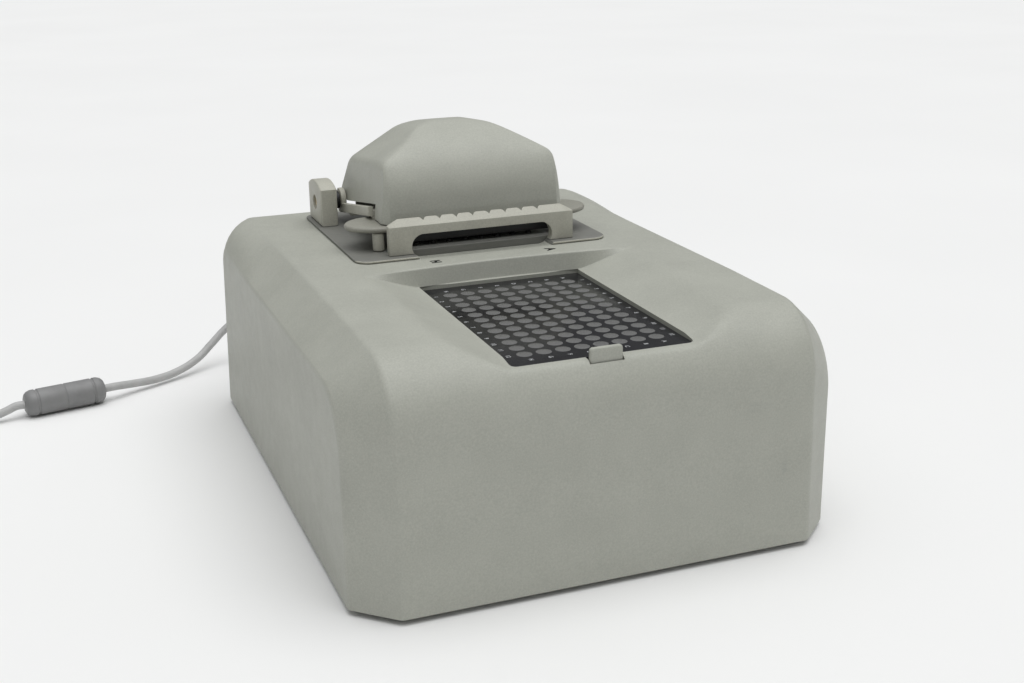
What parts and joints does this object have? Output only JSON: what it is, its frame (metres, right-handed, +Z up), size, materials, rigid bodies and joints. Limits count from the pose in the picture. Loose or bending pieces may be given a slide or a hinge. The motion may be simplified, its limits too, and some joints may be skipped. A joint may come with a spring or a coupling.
{
  "type": "spectrophotometer",
  "caption": "Benchtop micro-volume spectrophotometer: box housing, recessed well map, hinged sampling arm over a row of pedestals, signal lead.",
  "frame": {"origin": "on the table, under the centre of the housing's footprint", "axes": "+Z up, +X to the operator's right, +Y from the operator's side to the back, where the sockets are"},
  "size_m": [0.4659, 0.3803, 0.1747],
  "materials": {
    "putty_plastic": "fine moulded texture",
    "gloss_black_panel": "gloss",
    "satin_grey_plate": "satin grey",
    "black_anodised": "satin black",
    "stainless_steel": "brushed",
    "brass": "turned",
    "black_rubber": "matte",
    "circuit_board": "satin",
    "lead_jacket": "matte",
    "ferrite_sleeve": "matte"
  },
  "bodies": {
    "base": {"hood_shell": "putty_plastic", "platform_plate": "satin_grey_plate", "pipette_guide_bar": "putty_plastic", "stop_lug_left": "putty_plastic", "stop_lug_right": "putty_plastic", "hinge_post_left": "putty_plastic", "hinge_post_right": "putty_plastic", "well_map_panel": "gloss_black_panel", "lower_pedestal_block": "satin_grey_plate", "hinge_bush_left": "black_anodised", "hinge_bush_right": "black_anodised", "path_actuator": "black_anodised", "spectrometer_module": "black_anodised", "fibre_bundle": "black_anodised", "rear_panel": "black_anodised", "power_inlet": "black_anodised", "base_pan": "stainless_steel", "tab_spring": "stainless_steel", "lower_pedestal_1": "stainless_steel", "lower_pedestal_2": "stainless_steel", "lower_pedestal_3": "stainless_steel", "lower_pedestal_4": "stainless_steel", "lower_pedestal_5": "stainless_steel", "lower_pedestal_6": "stainless_steel", "lower_pedestal_7": "stainless_steel", "lower_pedestal_8": "stainless_steel", "flash_lamp_module": "stainless_steel", "usb_socket": "stainless_steel", "inlet_pin": "stainless_steel", "far_plug_shell": "stainless_steel", "tab_pin": "brass", "hinge_pin_left": "brass", "hinge_pin_right": "brass", "foot_front_left": "black_rubber", "foot_front_right": "black_rubber", "foot_back_left": "black_rubber", "foot_back_right": "black_rubber", "main_board": "circuit_board", "lead_plug": "lead_jacket", "lead_relief": "lead_jacket", "lead_cord": "lead_jacket", "lead_tail": "lead_jacket", "lead_coil": "lead_jacket", "far_plug": "lead_jacket", "ferrite_sleeve": "ferrite_sleeve"},
    "arm": {"arm_frame": "putty_plastic", "arm_cover": "putty_plastic", "upper_pedestal_block": "black_anodised", "upper_pedestal_1": "stainless_steel", "upper_pedestal_2": "stainless_steel", "upper_pedestal_3": "stainless_steel", "upper_pedestal_4": "stainless_steel", "upper_pedestal_5": "stainless_steel", "upper_pedestal_6": "stainless_steel", "upper_pedestal_7": "stainless_steel", "upper_pedestal_8": "stainless_steel"},
    "tab": {"retaining_tab": "putty_plastic"},
    "plunger": {"path_plunger": "stainless_steel"}
  },
  "joints": [
    {"name": "arm_hinge", "type": "hinge", "parent": "base", "child": "arm", "pos_m": [0, 0.0995, 0.127], "axis": [-1, 0, 0], "range_deg": [0, 62]},
    {"name": "tab_tilt", "type": "hinge", "parent": "base", "child": "tab", "pos_m": [-0.0012, -0.149, 0.0996], "axis": [1, 0, 0], "range_deg": [0, 7], "stiffness_Nm_per_rad": 0.02, "springref_deg": -20.05},
    {"name": "plunger_lift", "type": "slide", "parent": "base", "child": "plunger", "axis": [0, 0, 1], "range_m": [0, 0.0008]}
  ]
}
